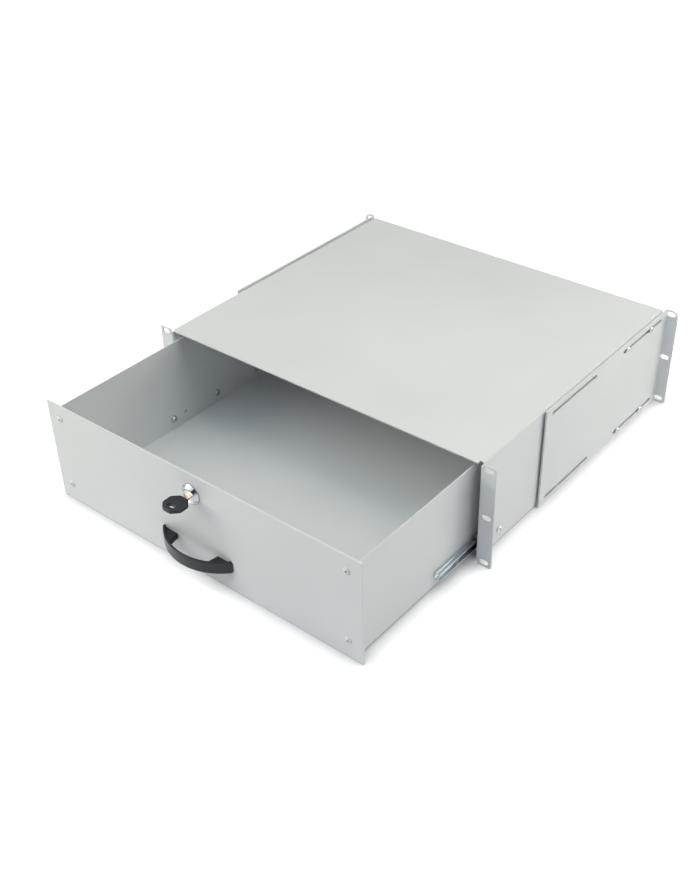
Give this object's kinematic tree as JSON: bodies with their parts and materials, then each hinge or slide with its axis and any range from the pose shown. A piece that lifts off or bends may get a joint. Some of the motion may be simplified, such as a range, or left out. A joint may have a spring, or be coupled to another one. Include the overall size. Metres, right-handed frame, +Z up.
{
  "type": "sliding rack drawer",
  "caption": "Locking drawer of painted sheet steel that runs out of a rack-mounted cover on ball-bearing slides, with a bow handle, cam lock and rear brackets.",
  "frame": {"origin": "middle of the four outer front rack slots, on the rear face of the front ears, which lies on the rack's posts", "axes": "+X to the right seen from the front, +Y to the back of the rack, +Z up"},
  "size_m": [0.4826, 0.6274, 0.131],
  "materials": {
    "painted_sheet": "light grey powder coat, fine and slightly satin",
    "zinc_slide": "bright zinc-plated rolled steel",
    "cage_strip": "plain thin steel strip",
    "ball_steel": "polished hard steel",
    "zinc_screws": "bright zinc plate",
    "rivet_aluminium": "plain drawn aluminium",
    "mandrel_steel": "dull broken steel",
    "black_plastic": "moulded black plastic, satin",
    "lock_chrome": "polished chrome plate on zinc",
    "lock_brass": "pale turned brass",
    "key_metal": "nickel-plated brass"
  },
  "bodies": {
    "case": {"case_cover": "painted_sheet", "lock_strike": "painted_sheet", "cover_slide_right": "zinc_slide", "cover_slide_left": "zinc_slide", "cover_slide_screws": "zinc_screws", "cover_slide_flat_screws": "zinc_screws", "bracket_bolts": "zinc_screws", "bracket_spacers": "zinc_screws"},
    "rear_bracket_right_body": {"rear_bracket_right": "painted_sheet"},
    "rear_bracket_left_body": {"rear_bracket_left": "painted_sheet"},
    "drawer": {"drawer_tub": "painted_sheet", "front_panel": "painted_sheet", "panel_rivets": "rivet_aluminium", "rivet_mandrels": "mandrel_steel", "handle": "black_plastic", "handle_screws": "zinc_screws", "drawer_slide_right": "zinc_slide", "drawer_slide_left": "zinc_slide", "drawer_slide_screws": "zinc_screws", "drawer_slide_washers": "zinc_screws", "drawer_slide_nuts": "zinc_screws", "lock_housing": "lock_chrome", "lock_nut": "zinc_screws"},
    "ball_cage_right_body": {"ball_cage_right": "cage_strip", "slide_balls_right": "ball_steel"},
    "ball_cage_left_body": {"ball_cage_left": "cage_strip", "slide_balls_left": "ball_steel"},
    "lock_cylinder": {"lock_plug": "lock_brass", "lock_cam": "zinc_screws", "cam_screw": "zinc_screws"},
    "key": {"key_blade": "key_metal", "key_head": "black_plastic"}
  },
  "joints": [
    {"name": "drawer_slide", "type": "slide", "parent": "case", "child": "drawer", "axis": [0, -1, 0], "range_m": [-0.1885, 0.0615]},
    {"name": "ball_cage_right_slide", "type": "slide", "parent": "case", "child": "ball_cage_right_body", "axis": [0, -1, 0], "range_m": [-0.09425, 0.03075]},
    {"name": "ball_cage_left_slide", "type": "slide", "parent": "case", "child": "ball_cage_left_body", "axis": [0, -1, 0], "range_m": [-0.09425, 0.03075]},
    {"name": "lock_turn", "type": "hinge", "parent": "drawer", "child": "lock_cylinder", "pos_m": [0, -0.1824, 0.0395], "axis": [0, 1, 0], "range_deg": [0, 90]},
    {"name": "key_pull", "type": "slide", "parent": "lock_cylinder", "child": "key", "axis": [0, -1, 0], "range_m": [0, 0.022]},
    {"name": "rear_bracket_right_slide", "type": "slide", "parent": "case", "child": "rear_bracket_right_body", "axis": [0, 1, 0], "range_m": [-0.027, 0.007]},
    {"name": "rear_bracket_left_slide", "type": "slide", "parent": "case", "child": "rear_bracket_left_body", "axis": [0, 1, 0], "range_m": [-0.027, 0.007]}
  ],
  "couplings": [
    {"joint": "ball_cage_right_slide", "follows": "drawer_slide", "ratio": 0.5},
    {"joint": "ball_cage_left_slide", "follows": "drawer_slide", "ratio": 0.5}
  ]
}
